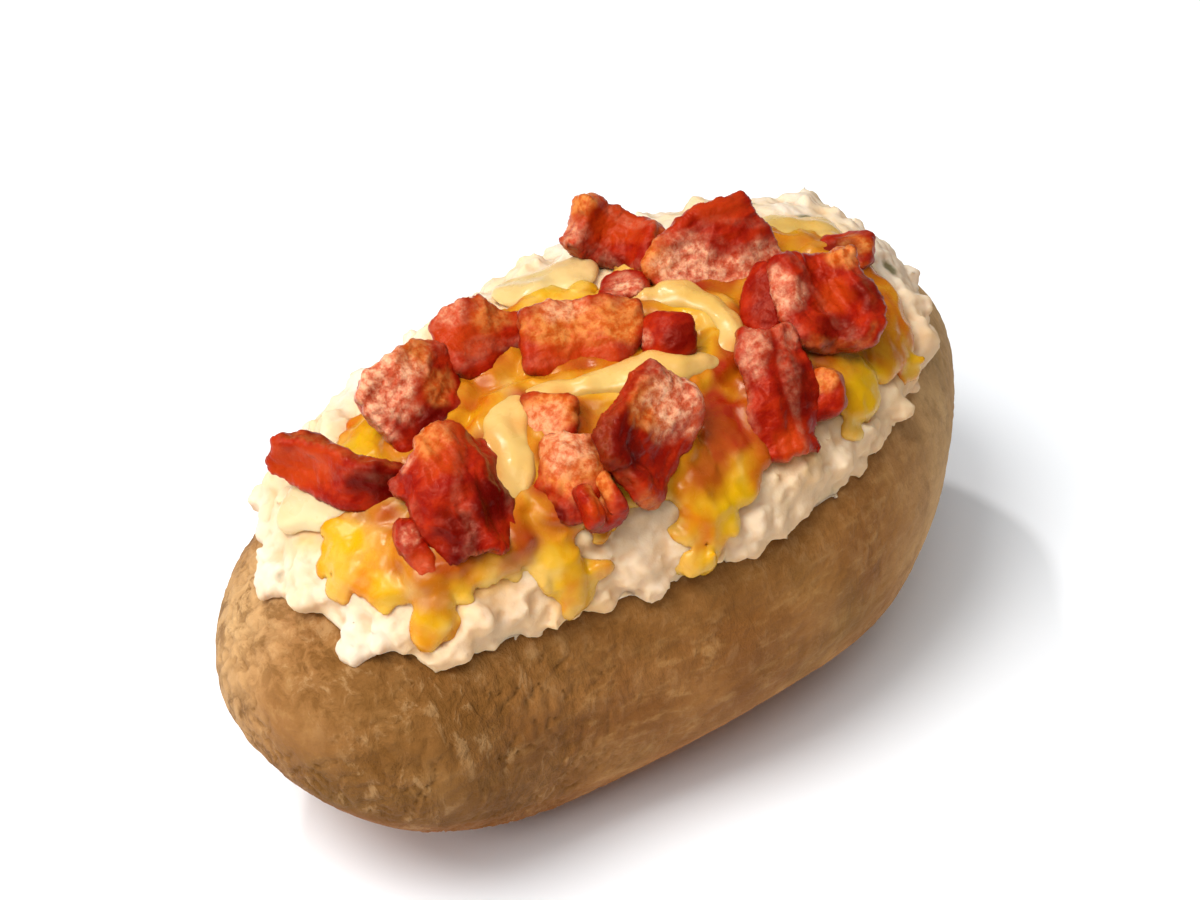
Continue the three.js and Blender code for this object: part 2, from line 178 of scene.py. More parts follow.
class Recipe:
    """One material under work: a Principled shader and the nodes that feed it."""

    def __init__(self, name: str) -> None:
        """Starts a material.

        Args:
            name: The material's name.
        """
        self.material = bpy.data.materials.new(name)
        self.material.use_nodes = True
        self.tree = self.material.node_tree
        self.shader = self.tree.nodes["Principled BSDF"]
        self.place = self.node("ShaderNodeTexCoord", {}, {}).outputs["Object"]

    def node(self, kind: str, settings: dict[str, Any], inputs: dict[Any, Any]) -> Any:
        """Adds a node.

        Args:
            kind: The node's type.
            settings: Its own settings, set first.
            inputs: A value, number, colour or socket for each input by name or number.

        Returns:
            The node.
        """
        made = self.tree.nodes.new(kind)
        for key, setting in settings.items():
            setattr(made, key, setting)
        for key, given in inputs.items():
            self.feed(made.inputs[key], given)
        return made

    def feed(self, socket: Any, given: Any) -> None:
        """Sets or links one input socket.

        Args:
            socket: The input.
            given: A value, socket, number, colour or vector.
        """
        given = given.socket if isinstance(given, Value) else given
        if isinstance(given, bpy.types.NodeSocket):
            self.tree.links.new(given, socket)
        elif isinstance(given, tuple) and socket.type == "RGBA":
            socket.default_value = (*given, 1.0)
        else:
            socket.default_value = given

    def value(self, kind: str, settings: dict[str, Any], inputs: dict[Any, Any], output: Any = 0) -> Value:
        """Adds a node, as node() does, and takes one output, by name or number, as a value."""
        return Value(self, self.node(kind, settings, inputs).outputs[output])

    def grain(
        self, size: float, detail: float = 2.0, rough: float = 0.5, place: Any = None, warp: float = 0.0
    ) -> Value:
        """A cloudy noise with lumps of a size in metres, finer detail, and a warp out of shape."""
        inputs = {"Vector": place or self.place, "Scale": 0.5 / size, "Detail": detail}
        return self.value("ShaderNodeTexNoise", {}, inputs | {"Roughness": rough, "Distortion": warp})

    def cells(self, size: float) -> Value:
        """How far it is to the middle of the nearest cell, in cells of the given size in metres."""
        inputs = {"Vector": self.place, "Scale": 1.0 / size}
        return self.value("ShaderNodeTexVoronoi", {}, inputs, "Distance")

    def stretched(self, scale: Triple, turn: Triple) -> Any:
        """The object's own coordinates, turned by radians about each axis and stretched along it."""
        inputs = {"Vector": self.place, "Rotation": turn, "Scale": scale}
        return self.node("ShaderNodeMapping", {}, inputs).outputs[0]

    def zone(self, name: str) -> Value:
        """One painted zone of the piece, 0 to 1, by its name."""
        settings = {"attribute_type": "GEOMETRY", "attribute_name": name}
        return self.value("ShaderNodeAttribute", settings, {}, "Fac")

    def mixed(self, share: Any, first: Any, second: Any) -> Any:
        """Two colours mixed, with that share of the second."""
        settings = {"data_type": "RGBA", "clamp_factor": True}
        return self.node("ShaderNodeMix", settings, {0: share, 6: first, 7: second}).outputs[2]

    def coated(self, base: Any, *coats: tuple[Value, Any]) -> Any:
        """Lays coats of colour over a base, one after another.

        Args:
            base: The colour below.
            coats: How much of each coat, 0 to 1, and its colour.

        Returns:
            The colour's socket.
        """
        for share, colour in coats:
            base = self.mixed(share, base, colour)
        return base

    def ramp(self, share: Value, stops: Sequence[tuple[float, Colour]]) -> Any:
        """Picks a colour from a row of stops.

        Args:
            share: How far along the row.
            stops: Each stop's place and colour.

        Returns:
            The colour's socket.
        """
        made = self.node("ShaderNodeValToRGB", {}, {0: share})
        elements = made.color_ramp.elements
        while len(elements) < len(stops):
            elements.new(0.5)
        for element, (place, colour) in zip(elements, stops):
            element.position = place
            element.color = (*colour, 1.0)
        return made.outputs[0]

    def relief(self, height: Value, depth: float) -> Any:
        """A bump from a height of 0 to 1, as deep as given in metres."""
        inputs = {"Height": height, "Distance": depth, "Strength": 1.0}
        return self.node("ShaderNodeBump", {}, inputs).outputs[0]

    def finish(self, **inputs: Any) -> bpy.types.Material:
        """Feeds the shader and ends the recipe.

        Args:
            inputs: The shader's inputs; an underline in a name stands for a space.

        Returns:
            The material.
        """
        for name, given in inputs.items():
            self.feed(self.shader.inputs[name.replace("_", " ")], given)
        return self.material


# ---- forms


def linked(name: str, data: Any) -> bpy.types.Object:
    """A new object in the scene.

    Args:
        name: Its name.
        data: Its mesh, lamp or camera.

    Returns:
        The object.
    """
    made = bpy.data.objects.new(name, data)
    bpy.context.scene.collection.objects.link(made)
    return made


def tree_of(meshes: Sequence[bpy.types.Mesh]) -> BVHTree:
    """Lays out the faces of some meshes for distance tests.

    Args:
        meshes: The meshes.

    Returns:
        The tree.
    """
    shape = bmesh.new()
    for mesh in meshes:
        shape.from_mesh(mesh)
    found = BVHTree.FromBMesh(shape)
    shape.free()
    return found


def gaps(tree: BVHTree, places: Points, reach: float) -> Points:
    """How far each place is from the faces of a tree, the reach at most."""
    return np.array([tree.find_nearest(Vector(place), reach)[3] or reach for place in places])


@dataclass
class Form:
    """A mesh under work, held as one closed shape until it is finished."""

    name: str
    mesh: bpy.types.Mesh

    @classmethod
    def of_shape(cls, name: str, shape: bmesh.types.BMesh) -> "Form":
        """Takes over a bmesh.

        Args:
            name: The piece's name.
            shape: The bmesh, freed here.

        Returns:
            The form.
        """
        mesh = bpy.data.meshes.new(name)
        shape.to_mesh(mesh)
        shape.free()
        return cls(name, mesh)

    def _through(self, settings: Sequence[tuple[str, dict[str, Any]]], group: Points | None = None) -> None:
        """Runs the mesh through modifiers and keeps the result.

        Args:
            settings: Each modifier's type and its settings.
            group: Weights of the vertex group "thin", if one is needed.
        """
        worker = linked("worker", self.mesh)
        if group is not None:
            thin = worker.vertex_groups.new(name="thin")
            thin.add([int(i) for i in np.flatnonzero(group > 0.5)], 1.0, "REPLACE")
        for kind, values in settings:
            modifier = worker.modifiers.new(kind, kind)
            for key, value in values.items():
                setattr(modifier, key, value)
        graph = bpy.context.evaluated_depsgraph_get()
        result = bpy.data.meshes.new_from_object(worker.evaluated_get(graph))
        bpy.data.objects.remove(worker)
        bpy.data.meshes.remove(self.mesh)
        self.mesh = result

    def fused(self, voxel: float, rounds: int) -> "Form":
        """Fuses everything into one even skin and smooths it.

        Args:
            voxel: The size of a face, in metres.
            rounds: How many rounds of smoothing.

        Returns:
            The form itself.
        """
        steps = [("REMESH", {"mode": "VOXEL", "voxel_size": voxel, "adaptivity": 0.0})]
        if rounds:
            steps.append(("SMOOTH", {"factor": 0.5, "iterations": rounds}))
        self._through(steps)
        return self

    def thinned(self, hidden: Points, share: float) -> None:
        """Keeps a share of the faces, and thins them where a vertex is hidden, 1 in the list."""
        self._through([("DECIMATE", {"ratio": share, "vertex_group": "thin"})], hidden)

    def _read(self, what: str) -> Points:
        """Reads one vector of every vertex.

        Args:
            what: The vector's name.

        Returns:
            A row for each vertex.
        """
        rows = np.empty(len(self.mesh.vertices) * 3)
        self.mesh.vertices.foreach_get(what, rows)
        return rows.reshape(-1, 3)

    def points(self) -> Points:
        """The vertices' places."""
        return self._read("co")

    def normals(self) -> Points:
        """The vertices' normals."""
        return self._read("normal")

    def moved(self, places: Points) -> None:
        """Puts the vertices at new places."""
        self.mesh.vertices.foreach_set("co", places.ravel())
        self.mesh.update()

    def raised(self, height: Points) -> None:
        """Moves each vertex along its normal, by metres."""
        self.moved(self.points() + self.normals() * height[:, None])

    def inside(self, low: Vector, high: Vector) -> None:
        """Keeps every vertex within the box between two corners."""
        self.moved(np.clip(self.points(), np.array(low), np.array(high)))

    def zoned(self, name: str, share: Points) -> None:
        """Paints a zone for the finish to read, with each vertex's share, 0 to 1."""
        zone = self.mesh.attributes.new(name, "FLOAT", "POINT")
        zone.data.foreach_set("value", np.ascontiguousarray(share, dtype=np.float32))

    def depths(self, rounds: int) -> Points:
        """How deep each vertex lies in a hollow, from the mean of its wider neighbourhood.

        Args:
            rounds: How wide that neighbourhood is.

        Returns:
            The depth, in metres, below zero on a ridge.
        """
        ends = np.empty(len(self.mesh.edges) * 2, dtype=np.int32)
        self.mesh.edges.foreach_get("vertices", ends)
        one, two = ends.reshape(-1, 2).T
        places = self.points()
        count = np.bincount(one, minlength=len(places)) + np.bincount(two, minlength=len(places))
        mean = places
        for _ in range(rounds):
            total = np.zeros_like(mean)
            for axis in range(3):
                total[:, axis] = np.bincount(one, mean[two, axis], len(places))
                total[:, axis] += np.bincount(two, mean[one, axis], len(places))
            mean = total / count[:, None]
        return np.einsum("ij,ij->i", mean - places, self.normals())

    def tree(self) -> BVHTree:
        """The form's faces, laid out for distance tests."""
        return tree_of([self.mesh])

    def served(self, material: bpy.types.Material, slot: str, nodes: Sequence[str]) -> bpy.types.Object:
        """Turns the form into a finished piece of the potato.

        Args:
            material: Its finish.
            slot: The record's slot of that finish; not used.
            nodes: The CAD nodes that it stands for.

        Returns:
            The piece.
        """
        for polygon in self.mesh.polygons:
            polygon.use_smooth = True
        self.mesh.name = self.name
        self.mesh.materials.clear()
        self.mesh.materials.append(material)
        piece = linked(self.name, self.mesh)
        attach(piece, BODY)
        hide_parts(*nodes)
        LOG.info("%s: %d faces", self.name, len(self.mesh.polygons))
        return piece


def lumps_at(
    places: Points, size: float, kind: Callable[[Vector], float] = noise.noise, start: float = 0.0
) -> Points:
    """A noise read at each place, its lumps of one size in metres; another start gives another draw."""
    return np.array([kind(Vector(place)) for place in places / size + start])


def bulb(place: Vector) -> float:
    """How far a place is from the middle of its cell."""
    return noise.voronoi(place)[0][0]


class Crumbs:
    """Places small rough lumps on the surfaces of a shape."""

    def __init__(self, seed: int) -> None:
        """Starts a seeded draw."""
        self.draw = random.Random(seed)

    def spots(
        self, mesh: bpy.types.Mesh, count: int, wanted: Callable[[Vector, Vector], bool]
    ) -> list[tuple[Vector, Vector]]:
        """Draws places on a mesh, evenly over its area.

        Args:
            mesh: The mesh.
            count: How many places are tried.
            wanted: Whether a place and its normal are kept.

        Returns:
            The places and their normals.
        """
        mesh.calc_loop_triangles()
        triangles = list(mesh.loop_triangles)
        areas = [triangle.area for triangle in triangles]
        found = []
        for triangle in self.draw.choices(triangles, areas, k=count):
            a, b, c = (mesh.vertices[i].co for i in triangle.vertices)
            u, v = self.draw.random(), self.draw.random()
            if u + v > 1:
                u, v = 1 - u, 1 - v
            place = a + (b - a) * u + (c - a) * v
            if wanted(place, triangle.normal):
                found.append((place, triangle.normal.copy()))
        return found

    def lump(self, shape: bmesh.types.BMesh, centre: Vector, radius: float) -> None:
        """Adds one rough lump.

        Args:
            shape: The bmesh that gets it.
            centre: Its centre.
            radius: Its radius.
        """
        turn = Quaternion([self.draw.gauss(0, 1) for _ in range(4)]).normalized().to_matrix().to_4x4()
        squeeze = Matrix.Diagonal([self.draw.uniform(0.7, 1.25) for _ in range(3)] + [1.0])
        place = Matrix.Translation(centre) @ turn @ squeeze
        made = bmesh.ops.create_icosphere(shape, subdivisions=1, radius=radius, matrix=place)
        for vert in made["verts"]:
            swell = noise.noise(vert.co / (radius * 0.9)) * 0.35
            vert.co = centre + (vert.co - centre) * (1 + swell)

    def drop(self, shape: bmesh.types.BMesh, centre: Vector, facing: Vector, size: Sequence[float]) -> None:
        """Adds one flat drop that lies on a surface, turned at random on it.

        Args:
            shape: The bmesh that gets it.
            centre: Its centre.
            facing: The surface's normal.
            size: Its half length, half width and half thickness.
        """
        turn = facing.to_track_quat("Z", "Y").to_matrix().to_4x4()
        spin = Matrix.Rotation(self.draw.uniform(0, math.pi), 4, "Z")
        place = Matrix.Translation(centre) @ turn @ spin @ Matrix.Diagonal([*size, 1.0])
        bmesh.ops.create_icosphere(shape, subdivisions=2, radius=1.0, matrix=place)


# ---- finishes


@dataclass(frozen=True)
class SkinFinish:
    """The baked skin: matte russet brown with a fine net of creases and small pores; painted light on its
    lit ends, painted shade on its near side, under the fringe and in its creases, and painted orange bounce
    light on its underside.
    """

    straw: Colour = tint(206, 164, 112)
    pale: Colour = tint(190, 142, 84)
    tan: Colour = tint(158, 106, 54)
    brown: Colour = tint(130, 80, 34)
    dark: Colour = tint(80, 48, 22)
    umber: Colour = tint(106, 66, 20)
    # The orange of the painted bounced light.
    bounce_orange: Colour = tint(176, 96, 38)
    olive: Colour = tint(116, 94, 40)

    def material(self) -> bpy.types.Material:
        """Mixes the skin's material.

        Returns:
            The material.
        """
        r = Recipe("baked_skin")
        clouds = r.grain(6 * MM, 4.0, 0.65)
        broad = r.grain(24 * MM, 2.0, 0.5)
        fine = r.grain(0.9 * MM, 4.0, 0.7)
        scuff = r.grain(1.6 * MM, 3.0, 0.7, r.stretched((0.5, 1.3, 1.3), (0.3, 0.5, 0.2)))
        drawn = r.stretched((1.4, 0.9, 0.6), (0.2, 0.35, 0.5))
        marks = r.grain(1.6 * MM, 5.0, 0.68, drawn, 0.4)
        wrinkled = r.zone("wrinkled")
        pores = r.cells(2.6 * MM)
        # Painted light: the lit ends get a lighter tone here and a coat of straw below.
        tone = clouds * 0.55 + broad * 0.45 + r.zone("painted_light") * 0.1 - 0.06
        base = r.coated(
            r.ramp(tone, [(0.32, self.brown), (0.5, self.tan), (0.68, self.pale)]),
            (scuff.above(0.5, 0.72) * 0.4, self.pale),
            ((1 - scuff.above(0.3, 0.48)) * 0.4, self.brown),
            # painted light on the lit ends
            (r.zone("painted_light") * (0.35 + clouds * 0.8), self.straw),
            # painted shade on the near side and under the fringe
            (r.zone("painted_shade") * 0.85, self.umber),
            # painted shade in the creases
            (r.zone("crease") * 0.45, self.umber),
            # painted shade in the wrinkles, and a painted highlight in straw beside them
            (marks.above(0.48, 0.62) * wrinkled * clouds.above(0.2, 0.5) * 0.7, self.umber),
            ((1 - marks.above(0.36, 0.48)) * wrinkled * 0.3, self.straw),
            ((1 - pores.above(0.05, 0.16)) * broad.above(0.4, 0.65) * 0.3, self.dark),
            (r.grain(14 * MM, 2.0, 0.5).above(0.55, 0.75) * 0.3, self.olive),
            # painted bounced light, orange, on the down-facing skin
            (r.zone("under") * 0.45, self.bounce_orange),
        )
        return r.finish(
            Base_Color=base,
            Roughness=0.62 + fine * 0.2,
            Normal=r.relief(fine * 0.5 + scuff * 0.5 - marks * wrinkled * 2.2, 0.5 * MM),
            Specular_IOR_Level=0.12,
        )


@dataclass(frozen=True)
class FleshFinish:
    """Fluffed flesh: mealy and creamy white, with painted shade of a warmer colour in its hollows and on the
    side turned from the key light, cheese stains, and painted shade in the colour of the cheese stains on
    the near side.
    """

    white: Colour = tint(225, 206, 182)
    cream: Colour = tint(219, 190, 150)
    # The colour of the painted shade.
    shade_warm: Colour = tint(206, 153, 98)
    # The colour of the cheese stains and of the painted shade on the near side.
    stain_and_shade: Colour = tint(218, 160, 74)
    fleck: Colour = tint(92, 84, 40)

    def material(self) -> bpy.types.Material:
        """Mixes the flesh's material.

        Returns:
            The material.
        """
        r = Recipe("fluffed_flesh")
        clouds = r.grain(5 * MM, 3.0, 0.6)
        meal = r.grain(0.7 * MM, 3.0, 0.7)
        base = r.coated(
            r.ramp(clouds * 0.6 + r.grain(13 * MM) * 0.4, [(0.4, self.cream), (0.56, self.white)]),
            # painted shade in a warmer colour, in the hollows and on the side turned from the key light
            (r.zone("hollow") * 0.5, self.shade_warm),
            # cheese stains, and painted shade in their colour on the near side
            (r.zone("cheese") * clouds.above(0.3, 0.7) * 0.9, self.stain_and_shade),
            (r.zone("fleck") * 0.85, self.fleck),
        )
        return r.finish(
            Base_Color=base,
            Roughness=0.5 + meal * 0.3,
            Normal=r.relief(meal, 0.12 * MM),
            Subsurface_Weight=0.6,
            Subsurface_Radius=(1.0, 0.75, 0.5),
            Subsurface_Scale=2.0 * MM,
            Specular_IOR_Level=0.15,
        )


@dataclass(frozen=True)
class CheddarFinish:
    """Melted cheddar: glossy yellow orange, redder where bacon fat has run into it."""

    yellow: Colour = tint(208, 156, 6)
    gold: Colour = tint(198, 120, 12)
    orange: Colour = tint(190, 86, 8)
    ember: Colour = tint(150, 32, 4)
    honey: Colour = tint(206, 144, 26)
    cream: Colour = tint(214, 170, 82)

    def material(self) -> bpy.types.Material:
        """Mixes the cheddar's material.

        Returns:
            The material.
        """
        r = Recipe("melted_cheddar")
        clouds = r.grain(3.4 * MM, 2.0, 0.6, None, 0.6)
        broad = r.grain(11 * MM, 2.0, 0.5)
        fine = r.grain(0.9 * MM, 2.0, 0.5)
        stops = [(0.34, self.orange), (0.44, self.gold), (0.53, self.honey), (0.64, self.cream)]
        base = r.coated(
            r.ramp(clouds * 0.6 + broad * 0.4, stops),
            (r.zone("grease") * (0.45 + clouds * 0.9), self.ember),
            (r.zone("sharp"), self.yellow),
            (r.zone("thin") * clouds.above(0.35, 0.6) * 0.6, self.cream),
        )
        return r.finish(
            Base_Color=base,
            Roughness=0.17 + fine * 0.2,
            Normal=r.relief(clouds * 0.7 + fine * 0.3, 0.25 * MM),
            Subsurface_Weight=0.3,
            Subsurface_Radius=(1.0, 0.5, 0.15),
            Subsurface_Scale=1.6 * MM,
            Specular_IOR_Level=0.32,
            Specular_Tint=(1.0, 0.86, 0.62),
        )


@dataclass(frozen=True)
class SauceFinish:
    """Pale cheese sauce: smooth, thick and glossy."""

    cream: Colour = tint(212, 179, 106)
    butter: Colour = tint(207, 163, 80)
    amber: Colour = tint(204, 118, 32)
    milk: Colour = tint(216, 194, 152)

    def material(self) -> bpy.types.Material:
        """Mixes the sauce's material.

        Returns:
            The material.
        """
        r = Recipe("cheese_sauce")
        clouds = r.grain(5 * MM, 2.0, 0.5)
        fine = r.grain(1.4 * MM, 2.0, 0.5)
        base = r.coated(
            r.ramp(clouds, [(0.35, self.butter), (0.6, self.cream)]),
            (r.zone("grease") * clouds.above(0.3, 0.65) * 0.7, self.amber),
            (r.zone("thin"), self.milk),
        )
        return r.finish(
            Base_Color=base,
            Roughness=0.22 + fine * 0.12,
            Normal=r.relief(fine, 0.12 * MM),
            Subsurface_Weight=0.35,
            Subsurface_Radius=(1.0, 0.65, 0.3),
            Subsurface_Scale=1.8 * MM,
            Specular_IOR_Level=0.35,
        )


class Tone(Enum):
    """What a part of a rasher is, or the painted shade on it: each is painted as a zone of its own."""

    # Painted shade, dark red.
    PAINTED_SHADE = "deep"
    EMBER = "ember"
    TAN = "tan"
    FAT = "fat"
    CHAR = "char"


@dataclass(frozen=True)
class BaconFinish:
    """Fried bacon: deep red lean, marbled pink fat, golden rendered fat and browned edges, with dark red
    painted shade.
    """

    lean: Colour = tint(134, 15, 3)
    bright: Colour = tint(164, 36, 7)
    # The dark red of the painted shade.
    deep: Colour = tint(88, 2, 0)
    ember: Colour = tint(176, 54, 9)
    tan: Colour = tint(206, 124, 58)
    gold: Colour = tint(180, 76, 16)
    pink: Colour = tint(198, 92, 58)
    fat: Colour = tint(232, 174, 134)
    char: Colour = tint(70, 18, 5)

    def material(self) -> bpy.types.Material:
        """Mixes the bacon's material.

        Returns:
            The material.
        """
        r = Recipe("fried_bacon")
        clouds = r.grain(3 * MM, 3.0, 0.6)
        speckle = r.grain(0.6 * MM, 3.0, 0.65)
        fibre = r.grain(1.3 * MM, 3.0, 0.6, r.stretched((0.45, 1.4, 1.4), (0.2, 0.3, 0.6)))
        fat = r.zone("fat")
        golden = r.mixed(speckle.above(0.35, 0.65), self.gold, self.tan)
        marbled = r.mixed((clouds * 0.3 + speckle * 0.7).above(0.34, 0.66), self.pink, self.fat)
        base = r.coated(
            r.mixed(fibre.above(0.35, 0.7), self.lean, self.bright),
            # painted shade, dark red, on the undersides and the shaded patches
            (r.zone("deep") * (0.55 + clouds * 0.8), self.deep),
            (r.zone("ember") * (0.5 + clouds * 0.6), self.ember),
            (r.zone("tan") * (0.55 + fibre * 0.8), golden),
            (fat * (0.25 + fibre * 0.5 + speckle.above(0.3, 0.7) * 0.55), marbled),
            (r.zone("char") * (0.4 + clouds * 0.9), self.char),
        )
        return r.finish(
            Base_Color=base,
            Roughness=0.2 + speckle * 0.28 - fat * 0.04,
            Normal=r.relief(fibre * 0.5 + speckle * (0.5 + fat * 0.6), 0.3 * MM),
            Subsurface_Weight=0.25,
            Subsurface_Radius=(1.0, 0.25, 0.1),
            Subsurface_Scale=1.4 * MM,
            Specular_IOR_Level=0.22,
            Specular_Tint=(1.0, 0.38, 0.26),
        )


# ---- the potato


@dataclass
class Kitchen:
    """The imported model, and the closed copies of its nodes that the pieces start from."""

    frame: dict[str, Any]
    low: Vector
    high: Vector

    def mesh(self, node: str) -> bpy.types.Mesh:
        """One node's mesh."""
        return self.frame["nodes"][node].data

    def copied(self, shape: bmesh.types.BMesh, node: str) -> None:
        """Adds a node's mesh to a bmesh, its loose triangles merged."""
        shape.from_mesh(self.mesh(node))
        bmesh.ops.remove_doubles(shape, verts=shape.verts, dist=1e-6)

    def form(self, name: str, node: str) -> Form:
        """A form that starts as a copy of one node.

        Args:
            name: The piece's name.
            node: The node's name.

        Returns:
            The form.
        """
        shape = bmesh.new()
        self.copied(shape, node)
        return Form.of_shape(name, shape)

    def tree(self, nodes: Sequence[str]) -> BVHTree:
        """Some nodes' faces, laid out for distance tests."""
        return tree_of([self.mesh(node) for node in nodes])


@dataclass
class Jacket:
    """The baked skin, open along the top."""

    kitchen: Kitchen
    voxel: float = 0.55 * MM
    smoothing: int = 50
    core_reach: float = 45 * MM
    core_height: float = 31 * MM
    # The centre of a blotch of painted shade under the fringe.
    stain_and_shade: Triple = (-53 * MM, -15.5 * MM, 42 * MM)
    dent_size: float = 17 * MM
    dent_depth: float = 0.5 * MM
    net_size: float = 5.2 * MM
    net_depth: float = 0.3 * MM
    pimple_depth: float = 0.1 * MM
    kept_share: float = 0.53

    def build(self) -> Form:
        """Builds the skin.

        Returns:
            The finished form, which the flesh's crumbs are kept clear of.
        """
        form = self.kitchen.form("baked_jacket", "potato_jacket").fused(self.voxel, self.smoothing)
        outer = self.outer(form)
        self.painted(form, outer)
        seen = np.flatnonzero(outer)
        rise, shade = np.zeros(len(outer)), np.zeros(len(outer))
        rise[seen], shade[seen] = self.relief(form.points()[seen])
        # The crease zone is painted shade in the creases.
        form.zoned("crease", shade)
        form.raised(rise)
        form.thinned(1.0 - outer, self.kept_share)
        form.inside(self.kitchen.low, self.kitchen.high)
        form.served(SkinFinish().material(), "potato_jacket", ["potato_jacket"])
        return form

    def outer(self, form: Form) -> Points:
        """Finds the outer face of the skin.

        Args:
            form: The skin.

        Returns:
            Whether each vertex faces away from the potato's long axis.
        """
        places = form.points()
        core = np.zeros_like(places)
        core[:, 0] = np.clip(places[:, 0], -self.core_reach, self.core_reach)
        core[:, 2] = self.core_height
        return np.einsum("ij,ij->i", places - core, form.normals()) > 0

    def painted(self, form: Form, outer: Points) -> None:
        """Paints the zones: painted light on the lit ends, painted shade on the near side and under the
        fringe, the wrinkled end, and painted orange bounce light on the underside.

        Args:
            form: The skin.
            outer: Whether each vertex is on the outer face.
        """
        places = form.points()
        x, y, z = places.T
        # Painted bounced light: the down-facing outer skin is tinted orange.
        form.zoned("under", ease(-form.normals()[:, 2], 0.35, 0.9) * outer)
        # Painted light: the far left end and the near right end, where the key light falls, are painted
        # paler.
        far_left_light = ease(-x, 40 * MM, 62 * MM) * np.maximum(ease(y, -6 * MM, 16 * MM), 0.15)
        near_right_light = ease(x, 18 * MM, 48 * MM) * np.maximum(ease(-y, -14 * MM, 4 * MM), 0.4)
        form.zoned("painted_light", np.maximum(far_left_light, 0.95 * near_right_light))
        # Painted shade: darker on the low left of the near side, in a blotch under the fringe at the left,
        # and in a band under the fringe.
        wander = lumps_at(places, 7 * MM, start=2.5) * 5 * MM
        from_shade_spot = np.linalg.norm(places - np.array(self.stain_and_shade), axis=1) + wander
        low_left_shade = ease(-x, 24 * MM, 50 * MM) * ease(z, 46 * MM, 28 * MM) * ease(-y, -6 * MM, 8 * MM)
        fringe_shade = ease(z + wander * 0.5, 34 * MM, 45 * MM) * ease(-y, 12 * MM, 22 * MM)
        fringe_shade = fringe_shade * ease(-x, -18 * MM, -2 * MM)
        shade_spot = ease(from_shade_spot, 20 * MM, 7 * MM)
        form.zoned("painted_shade", np.max([low_left_shade * 0.85, 0.85 * shade_spot, 0.6 * fringe_shade], axis=0))
        patchy = ease(lumps_at(places, 11 * MM, start=9.0), -0.35, 0.2)
        patchy = np.maximum(patchy, 0.8 * ease(z, 35 * MM, 44 * MM))
        form.zoned("wrinkled", np.maximum(ease(-x, 20 * MM, 42 * MM), 0.4) * patchy * outer)

    def relief(self, places: Points) -> tuple[Points, Points]:
        """The skin's dents, net of creases and pimples, all cut inwards.

        Args:
            places: Places on the skin.

        Returns:
            The height at each place, zero or less, and how deep in a crease it is, 0 to 1, also painted as
            shade in the creases.
        """
        bend = np.column_stack([lumps_at(places, 8 * MM, start=s) for s in (0.0, 9.3, 21.7)]) * 2.2 * MM
        end = ease(places[:, 0], -12 * MM, -36 * MM)[:, None]
        stretch = end * np.array([1.5, 0.8, 0.65]) + (1 - end) * np.array([0.7, 1.2, 1.2])
        drawn = (places + bend) * stretch
        long = 1 - ease(np.abs(lumps_at(drawn, self.net_size, start=3.0)), 0.0, 0.16)
        short = 1 - ease(np.abs(lumps_at(drawn, self.net_size * 0.45, start=8.0)), 0.0, 0.24)
        patchy = ease(lumps_at(places, 12 * MM, start=4.0), -0.3, 0.3)
        strength = (0.25 + 0.75 * end[:, 0]) * patchy
        crease = long * strength * 0.5 + short * (0.2 + 0.5 * strength)
        net = np.abs(lumps_at(drawn, 2.6 * MM, start=6.0))
        net = net + 0.5 * np.abs(lumps_at(drawn, 1.3 * MM, start=7.0))
        worn = np.maximum(end[:, 0], 0.3) * ease(lumps_at(places, 9 * MM, start=5.0), -0.4, 0.1)
        crease = np.maximum(crease, ease(net, 0.2, 0.04) * worn)
        dents = (lumps_at(places, self.dent_size, start=2.0) - 1) / 2
        pimples = (lumps_at(places, 1.7 * MM, start=1.0) - 1) / 2
        fine = (np.minimum(net, 0.6) - 0.6) * 0.55 * MM * worn
        height = self.dent_depth * dents - self.net_depth * crease + self.pimple_depth * pimples + fine
        return height, np.clip(crease, 0, 1)


@dataclass(frozen=True)
class Spot:
    """A round zone on a piece, in millimetres in the part's own frame."""

    at: Triple
    reach: float
    share: float = 1.0

    def over(self, places: Points) -> Points:
        """How much of the zone each place has, 0 to 1."""
        away = np.linalg.norm(places - np.array(self.at) * MM, axis=1) / (self.reach * MM)
        return self.share * ease(away + lumps_at(places, 3 * MM, start=2.0) * 0.35, 1.05, 0.45)


def spotted(spots: Sequence[Spot], places: Points) -> Points:
    """How much of the strongest of some spots each place has, 0 to 1."""
    return np.max([spot.over(places) for spot in spots], axis=0)


